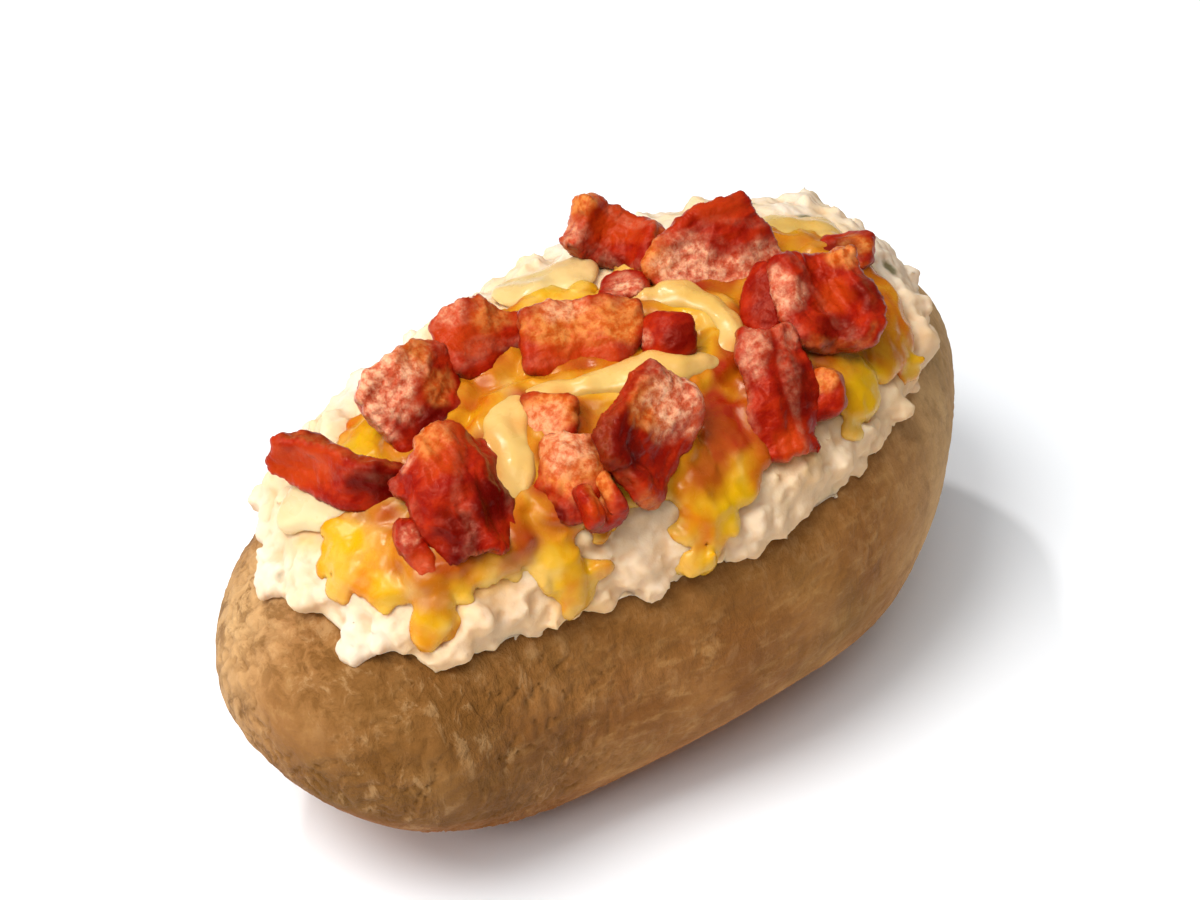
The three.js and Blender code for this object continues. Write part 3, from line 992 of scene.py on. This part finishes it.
@dataclass
class Flesh:
    """The fluffed flesh: the heap and its rough lumps, with crumbs where it is bare."""

    kitchen: Kitchen
    jacket: Form
    covers: Sequence[str]
    voxel: float = 0.5 * MM
    smoothing: int = 4
    tries: int = 2600
    small_tries: int = 900
    crumb_radius: tuple[float, float] = (1.1 * MM, 4.2 * MM)
    small_radius: tuple[float, float] = (0.9 * MM, 1.6 * MM)
    heap_floor: float = 43 * MM
    fringe_top: float = 52 * MM
    steepest: float = -0.6
    share_on_top: float = 0.45
    skin_gap: float = 5 * MM
    cover_gap: float = 1.3 * MM
    kept_share: float = 0.62
    seed: int = 5
    flecks: tuple[Spot, ...] = (
        Spot((-54.2, 7.4, 50.7), 1.6), Spot((43.9, 5.4, 61.1), 1.5), Spot((46.6, -9.3, 58.6), 1.4),
        Spot((40.9, 14.3, 60.1), 1.2), Spot((-20.9, -30.3, 49.1), 1.2),
    )

    def build(self) -> Form:
        """Builds the flesh.

        Returns:
            The finished form.
        """
        mesh = self.kitchen.mesh("potato_flesh")
        shape = bmesh.new()
        self.kitchen.copied(shape, "potato_flesh")
        cover = self.kitchen.tree(self.covers)
        skin = self.jacket.tree()
        crumbs = Crumbs(self.seed)
        draw = crumbs.draw

        def wanted(place: Vector, facing: Vector) -> bool:
            """Whether a crumb may sit here: on the open heap, clear of the skin and the toppings.

            Args:
                place: A place on the flesh.
                facing: Its normal.

            Returns:
                True where it may.
            """
            if place.z < self.heap_floor + 1 * MM or facing.z < self.steepest:
                return False
            if place.z >= self.fringe_top and draw.random() > self.share_on_top:
                return False
            if skin.ray_cast(place, facing, self.skin_gap)[0] is not None:
                return False
            return cover.find_nearest(place)[3] > self.cover_gap

        def wanted_low(place: Vector, facing: Vector) -> bool:
            """Whether a small crumb may sit here, on the fringe."""
            return place.z < self.fringe_top + 3 * MM and wanted(place, facing)

        for place, _ in crumbs.spots(mesh, self.small_tries, wanted_low):
            crumbs.lump(shape, place, draw.uniform(*self.small_radius))
        spots = crumbs.spots(mesh, self.tries, wanted)
        small, large = self.crumb_radius
        for place, facing in spots:
            radius = small + (large - small) * draw.random() ** 1.8
            radius = min(radius, cover.find_nearest(place)[3] * 0.8)
            crumbs.lump(shape, place - facing * radius * draw.uniform(0.15, 0.6), radius)
        LOG.info("flesh crumbs: %d", len(spots))
        form = Form.of_shape("fluffed_flesh", shape).fused(self.voxel, self.smoothing)
        places = form.points()
        seen = np.flatnonzero(places[:, 2] > self.heap_floor)
        rise = np.zeros(len(places))
        rise[seen] = self.relief(places[seen])
        form.raised(rise)
        self.painted(form, cover)
        form.thinned((places[:, 2] <= self.heap_floor).astype(float), self.kept_share)
        form.inside(self.kitchen.low, self.kitchen.high)
        form.served(FleshFinish().material(), "potato_flesh", ["potato_flesh"])
        return form

    @staticmethod
    def relief(places: Points) -> Points:
        """The mealy surface: puffs within puffs.

        Args:
            places: Places on the heap.

        Returns:
            The height at each place.
        """
        puffs = lumps_at(places, 5.0 * MM)
        knobs = 0.45 - lumps_at(places, 3.2 * MM, bulb, start=3.0)
        small = 0.45 - lumps_at(places, 1.6 * MM, bulb, start=5.0)
        fine = lumps_at(places, 0.9 * MM, start=6.0)
        return puffs * 0.7 * MM + knobs * 0.7 * MM + small * 0.45 * MM + fine * 0.1 * MM

    def painted(self, form: Form, cover: BVHTree) -> None:
        """Paints the painted shade in the hollows and on the side turned from the key light, the flecks of
        dried skin, and the stains of the cheese, whose colour reaches wider on the near side as painted
        shade.

        Args:
            form: The flesh.
            cover: What lies on it.
        """
        places = form.points()
        # Painted shade: the hollows and the side turned from the key light take a warmer colour.
        turned = ease(form.normals() @ np.array(KEY_SIDE), 0.8, 0.1)
        hollow = np.maximum(ease(form.depths(10), 0.02 * MM, 0.35 * MM), 0.9 * turned)
        near = gaps(cover, places, 6 * MM)
        form.zoned("hollow", hollow)
        form.zoned("fleck", spotted(self.flecks, places))
        # Painted shade: the colour of the cheese stains reaches wider on the near side.
        near_side_shade = 0.6 * ease(near, 11 * MM, 2 * MM) * ease(-places[:, 1], 8 * MM, 20 * MM)
        form.zoned("cheese", np.maximum(ease(near, 3.2 * MM, 0.3 * MM), near_side_shade))


@dataclass
class Cheddar:
    """The melted cheddar over the heap and its tongues over the fringe."""

    kitchen: Kitchen
    bacon: Sequence[str]
    sauce: Sequence[str]
    voxel: float = 0.4 * MM
    smoothing: int = 22
    swell: float = 0.3 * MM
    climb: float = 1.1 * MM
    drops: int = 9000
    drop_width: tuple[float, float] = (1.2, 2.2)
    shreds: int = 60
    shred_length: tuple[float, float] = (2.0, 3.6)
    run_floor: float = 46 * MM
    seed: int = 23
    greasy: tuple[Spot, ...] = (
        Spot((0.1, -21.3, 64.2), 8.0), Spot((-7.3, -24.8, 61.9), 5.0, 0.8),
        Spot((7.4, -17.9, 65.0), 7.0), Spot((-46.7, -13.9, 59.0), 4.5, 0.7),
    )
    yellow: tuple[Spot, ...] = (
        Spot((-49.5, -0.1, 59.6), 4.0), Spot((-5.3, -28.8, 57.0), 4.5), Spot((23.4, -26.7, 59.3), 6.5),
        Spot((4.2, 9.3, 65.4), 4.5), Spot((-38.6, 8.3, 63.5), 6.0), Spot((-52.0, 0.1, 57.5), 4.5, 0.8),
    )

    def build(self, flesh: Form) -> None:
        """Builds the cheddar.

        Args:
            flesh: The flesh that it runs over.
        """
        shape = bmesh.new()
        self.kitchen.copied(shape, "melted_cheddar")
        shreds = self.run(shape, flesh)
        form = Form.of_shape("melted_cheddar_layer", shape).fused(self.voxel, self.smoothing)
        places = form.points()
        grease = near_bacon(self.kitchen, self.bacon, places)[0]
        collar = near_bacon(self.kitchen, [*self.bacon, *self.sauce], places)[1]
        ripple = (0.3 - np.abs(lumps_at(places, 3.6 * MM))) * 0.7 * MM
        ripple = ripple + lumps_at(places, 1.2 * MM) * 0.08 * MM
        form.raised(self.swell + ripple + collar * self.climb)
        grease = np.maximum(grease, spotted(self.greasy, places))
        form.zoned("grease", grease)
        bright = [*self.yellow, *(Spot(tuple(shred / MM), 3.0, 0.8) for shred in shreds)]
        sharp = np.maximum(ease(places[:, 2], 51 * MM, 45 * MM) * 0.6, spotted(bright, places))
        form.zoned("sharp", sharp * (1 - grease * 0.7))
        form.zoned("thin", ease(gaps(flesh.tree(), places, 3 * MM), 1.3 * MM, 0.5 * MM))
        form.inside(self.kitchen.low, self.kitchen.high)
        form.served(CheddarFinish().material(), "melted_cheddar", ["melted_cheddar"])

    def run(self, shape: bmesh.types.BMesh, flesh: Form) -> list[Vector]:
        """Lets the cheddar run thin over the lumps beside it, with half melted shreds in it.

        Args:
            shape: The cheddar's bmesh.
            flesh: The flesh that it runs over.

        Returns:
            The middle of each shred.
        """
        cheese = BVHTree.FromBMesh(shape)
        crumbs = Crumbs(self.seed)

        def beside(place: Vector, facing: Vector) -> bool:
            """Whether a drop may lie here: on the open heap, close beside the cheese.

            Args:
                place: A place on the flesh.
                facing: Its normal, which any drop can lie on; not used.

            Returns:
                True where it may.
            """
            near = cheese.find_nearest(place, 4 * MM)[3]
            ragged = 0.9 + 2.4 * noise.noise(place / (4 * MM))
            return near is not None and 0.2 * MM < near < ragged * MM and place.z > self.run_floor

        spots = crumbs.spots(flesh.mesh, self.drops, beside)
        for place, facing in spots:
            wide = crumbs.draw.uniform(*self.drop_width) * MM
            crumbs.drop(shape, place, facing, (wide, wide * 0.8, 0.5 * MM))
        shreds = spots[:: max(1, len(spots) // self.shreds)]
        for place, facing in shreds:
            long = crumbs.draw.uniform(*self.shred_length) * MM
            crumbs.drop(shape, place + facing * 0.5 * MM, facing, (long, 0.85 * MM, 0.7 * MM))
        LOG.info("cheddar drops: %d", len(spots))
        return [place for place, _ in shreds]


def near_bacon(kitchen: Kitchen, bacon: Sequence[str], places: Points) -> tuple[Points, Points]:
    """How the bacon changes the cheese at each place.

    Args:
        kitchen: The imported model.
        bacon: The bacon's nodes.
        places: Places on the cheese.

    Returns:
        How much bacon fat has run into it, and how far it climbs up the bacon, both 0 to 1.
    """
    near = gaps(kitchen.tree(bacon), places, 8 * MM)
    patchy = 0.45 + 0.55 * ease(lumps_at(places, 4 * MM, start=3.0), -0.3, 0.35)
    return ease(near, 5.5 * MM, 0.4 * MM) * patchy, ease(near, 2.4 * MM, 0.3 * MM)


@dataclass
class Sauce:
    """The pale cheese sauce: a ribbon between the rashers, and pools."""

    kitchen: Kitchen
    bacon: Sequence[str]
    nodes: Sequence[str]
    voxel: float = 0.35 * MM
    smoothing: int = 16
    pool_smoothing: int = 44
    climb: float = 0.6 * MM
    left_paleness: float = 0.8
    far_paleness: float = 0.3

    def build(self) -> None:
        """Builds each run of sauce."""
        material = SauceFinish().material()
        pale = {"cheese_sauce_left_pool": self.left_paleness, "cheese_sauce_far_pool": self.far_paleness}
        for node in self.nodes:
            form = self.kitchen.form(node.replace("cheese_sauce", "poured_sauce"), node)
            form.fused(self.voxel, self.pool_smoothing if node.endswith("pool") else self.smoothing)
            places = form.points()
            grease, collar = near_bacon(self.kitchen, self.bacon, places)
            uneven = lumps_at(places, 8 * MM) * 0.9 * MM + lumps_at(places, 3.5 * MM, start=4.0) * 0.5 * MM
            form.raised(uneven + collar * self.climb)
            form.zoned("grease", grease)
            form.zoned("thin", np.full(len(places), pale.get(node, 0.0)))
            form.inside(self.kitchen.low, self.kitchen.high)
            form.served(material, "cheese_sauce", [node])


@dataclass(frozen=True)
class Patch:
    """A patch of one tone on a rasher, placed across and up its front view, each -1 to 1."""

    tone: Tone
    across: float
    upward: float
    reach: float
    share: float = 1.0


@dataclass(frozen=True)
class Look:
    """How one rasher is coloured and roughened."""

    patches: tuple[Patch, ...]
    crisp: float = 0.6
    streak: float = 0.5
    lumpy: float = 1.0
    rounding: int = 5


@dataclass
class Rasher:
    """One piece of bacon under work; its index gives it draws of its own."""

    form: Form
    look: Look
    index: int

    def fried(self, voxel: float, swell: float) -> None:
        """Gives the piece its waves, its relief and its tones.

        Args:
            voxel: The size of a face, in metres.
            swell: How much thicker it gets on each side.
        """
        form = self.form.fused(voxel, self.look.rounding)
        side = self.sides()
        form.moved(form.points() + self.waves())
        form.raised(swell + self.relief(side))
        self.painted(side)

    def sides(self) -> Points:
        """How much each vertex is on the cut side instead of the broad face.

        Returns:
            0 on a broad face, 1 on a cut side.
        """
        tree, reach, start = self.form.tree(), 12 * MM, 0.15
        depths = []
        for place, facing in zip(self.form.points(), self.form.normals()):
            inward = Vector(-facing)
            through = tree.ray_cast(Vector(place) + inward * start * MM, inward, reach)[3]
            depths.append(reach if through is None else through)
        return ease(np.array(depths), 3.2 * MM, 5.5 * MM)

    def waves(self) -> Points:
        """The waves of a fried rasher, both its faces moving together.

        Returns:
            How far each vertex moves.
        """
        places = self.form.points()
        starts = [self.index * 3.17 + axis * 13.7 for axis in range(3)]
        slow = np.column_stack([lumps_at(places, 6.5 * MM, start=start) for start in starts])
        quick = np.column_stack([lumps_at(places, 2.6 * MM, start=-start) for start in starts])
        return self.look.lumpy * (slow * 1.1 * MM + quick * 0.22 * MM)

    def layered(self) -> Points:
        """Measures the vertices along the rasher's length, width and thickness.

        Returns:
            The three measures of each, from the rasher's middle.
        """
        places = self.form.points()
        centred = places - places.mean(axis=0)
        axes = np.linalg.svd(centred, full_matrices=False)[2]
        axes *= np.sign(axes[np.arange(3), np.abs(axes).argmax(axis=1)])[:, None]
        return centred @ axes.T

    def relief(self, side: Points) -> Points:
        """The rasher's puckers, fibres and torn edges.

        Args:
            side: Where the cut sides are.

        Returns:
            The height at each vertex.
        """
        start = self.index * 7.31
        places = self.form.points()
        drawn = self.layered() * np.array([0.3, 1.0, 0.6])
        folds = np.abs(lumps_at(places, 5.0 * MM, start=start))
        pucker = (0.22 - folds) * 1.2 * MM
        fibres = (0.2 - np.abs(lumps_at(drawn, 1.5 * MM, start=start))) * 0.5 * MM
        torn = lumps_at(places, 1.3 * MM, start=start + 3) * 0.55 * MM * side
        fine = lumps_at(places, 0.7 * MM, start=start + 5) * 0.12 * MM
        return self.look.lumpy * (pucker + fibres * (1 - 0.6 * side) + torn) + fine

    def painted(self, side: Points) -> None:
        """Paints the rasher's tones, with painted shade on the faces that turn down.

        Args:
            side: Where the cut sides are.
        """
        places, facing = self.form.points(), self.form.normals()
        start = self.index * 5.77
        u, v = (2 * (run - run.min()) / np.ptp(run) - 1 for run in (places @ FRONT_RIGHT, places @ FRONT_UP))
        wander = lumps_at(places, 2.2 * MM, start=start) * 0.35
        shares = {tone: [np.zeros(len(places))] for tone in Tone}
        for patch in self.look.patches:
            away = np.hypot(u - patch.across, v - patch.upward) / patch.reach + wander
            shares[patch.tone].append(patch.share * ease(away, 1.05, 0.45))
        run = self.layered()[:, 1] / (3.6 * MM) + lumps_at(places, 5 * MM, start=start) * 0.6
        streaks = ease(np.sin(math.pi * run + self.index), 0.45, 0.95) * self.look.streak
        edge = side * ease(wander, -0.3, 0.15)
        upper = ease(facing @ FRONT_UP, 0.0, 0.7)
        shares[Tone.FAT].append(streaks * 0.55)
        shares[Tone.TAN].append(edge * 0.6 * self.look.crisp)
        shares[Tone.CHAR].append(edge * ease(self.look.crisp * upper, 0.5, 1.0))
        # Painted shade on the faces that turn down.
        shares[Tone.PAINTED_SHADE].append(ease(facing[:, 2], 0.1, -0.6) * 0.8)
        for tone, parts in shares.items():
            self.form.zoned(tone.value, np.clip(np.max(parts, axis=0), 0, 1))


@dataclass
class Bacon:
    """The chopped, fried rashers."""

    kitchen: Kitchen
    looks: dict[str, Look]
    voxel: float = 0.32 * MM
    swell: float = 0.6 * MM

    def build(self) -> None:
        """Builds each piece of bacon."""
        material = BaconFinish().material()
        for index, (node, look) in enumerate(self.looks.items()):
            form = self.kitchen.form(node.replace("bacon", "rasher"), node)
            Rasher(form, look, index).fried(self.voxel, self.swell)
            form.inside(self.kitchen.low, self.kitchen.high)
            form.served(material, "bacon", [node])


def rasher_looks() -> dict[str, Look]:
    """Each rasher's look, by its node.

    Returns:
        The look of each bacon node, in the order of their numbers.
    """
    # The deep patches below are painted shade.
    deep, ember, tan, fat, char = Tone.PAINTED_SHADE, Tone.EMBER, Tone.TAN, Tone.FAT, Tone.CHAR
    looks = [
        Look((Patch(ember, -0.55, 0.1, 0.75), Patch(deep, 0.6, -0.3, 0.6),
              Patch(char, -0.2, 0.9, 0.3, 0.6)), crisp=0.7, streak=0.1, lumpy=0.6),
        Look((Patch(tan, 0.0, 0.85, 0.5, 0.8), Patch(tan, 0.5, 0.2, 0.35, 0.7),
              Patch(fat, -0.55, 0.15, 0.9, 1.0), Patch(ember, -0.1, 0.2, 0.6, 0.4),
              Patch(deep, 0.45, -0.4, 0.45)), crisp=0.4, streak=0.3, lumpy=0.8),
        Look((Patch(ember, -0.2, 0.7, 0.6), Patch(tan, -0.35, 0.8, 0.4, 0.8),
              Patch(fat, -0.75, 0.5, 0.25, 0.6), Patch(deep, 0.6, -0.1, 0.5),
              Patch(deep, 0.15, -0.55, 0.5)), crisp=0.4, streak=0.15, lumpy=1.2),
        Look((Patch(fat, -0.4, 0.4, 0.4, 0.5), Patch(ember, 0.1, -0.6, 0.7)), crisp=0.3, streak=0.2),
        Look((Patch(ember, -0.4, 0.2, 0.8, 0.8), Patch(fat, -0.6, 0.6, 0.4, 0.5),
              Patch(tan, 0.1, 0.6, 0.5, 0.7), Patch(deep, 0.6, -0.4, 0.5)),
             crisp=0.3, streak=0.2, lumpy=0.8),
        Look((Patch(tan, -0.3, 0.35, 0.8), Patch(tan, 0.45, 0.35, 0.7), Patch(fat, -0.3, 0.7, 0.5, 0.6),
              Patch(ember, 0.0, -0.4, 1.0), Patch(deep, 0.85, -0.2, 0.3, 0.6)),
             crisp=0.2, streak=0.1, lumpy=0.8),
        Look((Patch(deep, 0.4, -0.1, 0.8, 0.7), Patch(fat, -0.9, -0.1, 0.4, 0.6)),
             crisp=0.0, streak=0.0, lumpy=0.3, rounding=160),
        Look((Patch(deep, -0.6, -0.2, 0.7, 0.8), Patch(tan, 0.1, 0.4, 0.5, 0.9),
              Patch(fat, 0.5, 0.5, 0.7, 1.0), Patch(ember, 0.85, 0.1, 0.35),
              Patch(tan, 0.0, -0.95, 0.3, 0.5)), crisp=0.2, streak=0.0, lumpy=0.8),
        Look((Patch(tan, -0.1, 0.4, 1.0), Patch(fat, -0.1, 0.6, 0.7, 0.7), Patch(deep, -0.4, -0.85, 0.4)),
             crisp=0.4, streak=0.1),
        Look((Patch(tan, 0.0, 0.6, 0.7), Patch(ember, 0.0, -0.1, 0.6)), crisp=0.6, streak=0.1, lumpy=0.5),
        Look((Patch(tan, -0.1, 0.2, 1.3), Patch(fat, -0.2, -0.1, 0.9, 0.5)),
             crisp=0.3, streak=0.0, lumpy=0.6),
        Look((Patch(tan, -0.65, 0.8, 0.5), Patch(fat, -0.85, 0.0, 0.45, 0.5), Patch(ember, 0.1, 0.3, 0.7),
              Patch(deep, 0.0, -0.75, 0.4, 0.8)), crisp=0.5, streak=0.3, lumpy=0.8),
        Look((Patch(ember, 0.0, 0.75, 0.5, 0.6), Patch(fat, -0.35, -0.4, 0.65, 0.85),
              Patch(fat, 0.25, -0.6, 0.6, 0.8), Patch(fat, 0.75, -0.2, 0.4, 0.6),
              Patch(tan, -0.95, -0.3, 0.5)), crisp=0.4, streak=0.15, lumpy=0.8),
        Look((Patch(fat, -0.55, 0.55, 0.45, 0.5), Patch(fat, 0.2, 0.8, 0.3, 0.4),
              Patch(deep, 0.4, 0.0, 0.55, 0.8), Patch(ember, 0.3, -0.8, 0.5)),
             crisp=0.4, streak=0.3, lumpy=0.9),
        Look((Patch(deep, 0.0, 0.0, 0.8, 0.5),), crisp=0.1, streak=0.0, lumpy=0.4, rounding=15),
        Look((Patch(fat, -0.75, 0.1, 0.5, 0.7), Patch(ember, 0.1, 0.05, 0.4),
              Patch(deep, 0.75, 0.2, 0.45, 0.8), Patch(deep, 0.2, -0.6, 0.45, 0.8),
              Patch(tan, 0.3, 0.9, 0.4)), crisp=0.6, streak=0.15, lumpy=0.9),
        Look((Patch(tan, 0.0, 0.7, 0.8), Patch(deep, 0.0, -0.8, 0.4, 0.7)),
             crisp=0.4, streak=0.0, lumpy=0.5, rounding=10),
        Look((Patch(fat, 0.0, 0.0, 0.9, 0.8),), crisp=0.3, streak=0.3),
        Look((Patch(char, 0.0, 0.0, 0.8, 0.6), Patch(tan, 0.4, 0.3, 0.6)), crisp=0.9, streak=0.2),
    ]
    return {f"bacon_{number:02d}": look for number, look in enumerate(looks, 1)}


# ---- the studio


@dataclass
class Studio:
    """A plain pale floor, soft light and the camera at the front quarter."""

    eye: Triple = (-239.61 * MM, -247.92 * MM, 344.55 * MM)
    aim: Triple = (3.544 * MM, 6.843 * MM, 39.121 * MM)
    lens: float = 96.047
    floor_size: float = 4.0
    lamp_aim: Triple = (0.0, 0.0, 40 * MM)

    def build(self) -> None:
        """Builds the floor, the lights and the camera."""
        self.floor()
        self.lights()
        self.camera()

    def floor(self) -> None:
        """Lays the floor."""
        shape = bmesh.new()
        bmesh.ops.create_grid(shape, x_segments=8, y_segments=8, size=self.floor_size / 2)
        mesh = bpy.data.meshes.new("floor")
        shape.to_mesh(mesh)
        shape.free()
        floor = linked("floor", mesh)
        floor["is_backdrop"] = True
        r = Recipe("pale_floor")
        base = r.ramp(r.grain(60 * MM), [(0.3, tint(244, 245, 247)), (0.7, tint(247, 248, 249))])
        mesh.materials.append(r.finish(Base_Color=base, Roughness=0.9, Specular_IOR_Level=0.1))

    def lights(self) -> None:
        """Sets the soft lights and the white surroundings."""
        white, cool, cooler = (1.0, 1.0, 1.0), (0.95, 0.98, 1.0), (0.9, 0.96, 1.0)
        self.lamp("overhead", (0.0, 0.0, 1.0), 0.6, 1.6, 1.8, cooler)
        self.lamp("key", KEY_SIDE, 1.0, 0.45, 7.5, white)
        self.lamp("low", (-0.866, -0.02, 0.5), 1.0, 0.5, 2.4, white)
        self.lamp("front", (-0.345, -0.362, 0.866), 1.0, 0.5, 3.2, cool)
        self.lamp("left", (-0.626, 0.598, 0.5), 1.0, 0.5, 1.0, white)
        self.lamp("glint", (-0.1, 0.5, 1.0), 0.9, 0.07, 2.2, white)
        world = bpy.data.worlds.new("studio")
        world.use_nodes = True
        sky = world.node_tree.nodes["Background"].inputs
        sky["Color"].default_value = (1.0, 1.0, 1.0, 1.0)
        sky["Strength"].default_value = 0.1
        bpy.context.scene.world = world
        bpy.context.scene.view_settings.view_transform = "Standard"

    def lamp(
        self, name: str, side: Triple, distance: float, size: float, power: float, colour: Colour
    ) -> None:
        """Sets one soft light.

        Args:
            name: Its name.
            side: The direction in which it stands.
            distance: How far away it is.
            size: How wide it is.
            power: Its power, in watts.
            colour: Its colour.
        """
        data = bpy.data.lights.new(name, "AREA")
        data.shape = "DISK"
        data.size, data.energy, data.color = size, power, colour
        toward = Vector(side).normalized()
        self.aimed(linked(name, data), Vector(self.lamp_aim) + toward * distance, "Z", toward)

    def camera(self) -> None:
        """Sets the camera."""
        data = bpy.data.cameras.new("camera")
        data.sensor_width, data.lens = 36.0, self.lens
        data.clip_start, data.clip_end = 0.01, 20.0
        camera = linked("camera", data)
        self.aimed(camera, Vector(self.eye), "-Z", Vector(self.aim) - Vector(self.eye))
        bpy.context.scene.camera = camera

    @staticmethod
    def aimed(thing: bpy.types.Object, place: Vector, axis: str, along: Vector) -> None:
        """Stands a lamp or the camera in its place.

        Args:
            thing: The lamp or camera.
            place: Where it stands.
            axis: Which of its axes is laid along the direction.
            along: The direction.
        """
        thing.location = place
        thing.rotation_mode = "QUATERNION"
        thing.rotation_quaternion = along.to_track_quat(axis, "Y")


def main() -> None:
    """Builds the potato in order."""
    logging.basicConfig(level=logging.INFO, format="%(name)s: %(message)s", stream=sys.stdout)
    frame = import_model()
    low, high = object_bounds()
    kitchen = Kitchen(frame, low, high)
    names = sorted(frame["nodes"])
    bacon = [name for name in names if name.startswith("bacon")]
    sauce = [name for name in names if name.startswith("cheese_sauce")]
    jacket = Jacket(kitchen).build()
    flesh = Flesh(kitchen, jacket, ["melted_cheddar", *sauce, *bacon]).build()
    Cheddar(kitchen, bacon, sauce).build(flesh)
    Sauce(kitchen, bacon, sauce).build()
    Bacon(kitchen, rasher_looks()).build()
    Studio().build()


if __name__ == "__main__":
    main()
